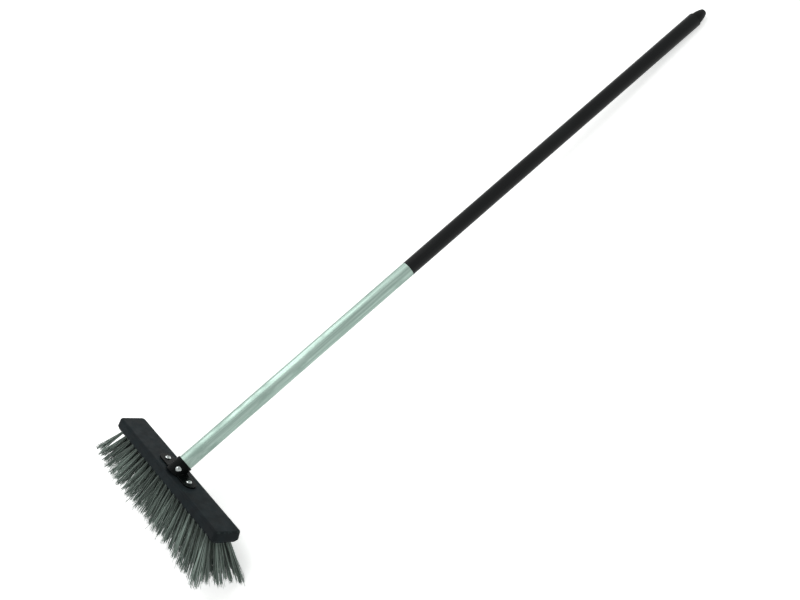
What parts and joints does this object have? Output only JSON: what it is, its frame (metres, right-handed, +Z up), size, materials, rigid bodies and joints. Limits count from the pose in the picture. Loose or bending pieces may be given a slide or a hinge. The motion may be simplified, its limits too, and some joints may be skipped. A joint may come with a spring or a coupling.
{
  "type": "push broom",
  "caption": "Push broom: long moulded block with rows of splayed PVC tufts, a screwed steel bracket and a leaning aluminium handle with a thin grip sleeve and end cap.",
  "frame": {"origin": "middle of the broom's footprint, on the surface that it lies on", "axes": "+X along the block, +Y from the head to the handle's end as it lies, +Z up. The broom lies on the tips of its back row of tufts and on the end of its grip."},
  "size_m": [0.4112, 1.3964, 0.1115],
  "materials": {
    "block": "fine satin, moulded polypropylene",
    "bristle": "satin extruded PVC filament",
    "anchor_wire": "plain flat wire",
    "bracket": "gloss black paint on pressed steel",
    "screw": "bright zinc",
    "tube": "drawn, satin",
    "sleeve": "satin PVC film",
    "cap": "satin moulded",
    "plug": "plain moulded"
  },
  "bodies": {
    "root": {"brush_block": "block", "bracket_ear_left": "bracket", "bracket_ear_right": "bracket", "handle_socket": "bracket", "block_screw_left": "screw", "block_screw_right": "screw", "clamp_screw": "screw", "handle_tube": "tube", "lower_plug": "plug", "grip_sleeve": "sleeve", "end_cap": "cap", "tuft_row_1": "bristle", "anchor_row_1": "anchor_wire", "tuft_row_2": "bristle", "anchor_row_2": "anchor_wire", "tuft_row_3": "bristle", "anchor_row_3": "anchor_wire", "tuft_row_4": "bristle", "anchor_row_4": "anchor_wire", "tuft_row_5": "bristle", "anchor_row_5": "anchor_wire"}
  },
  "joints": []
}
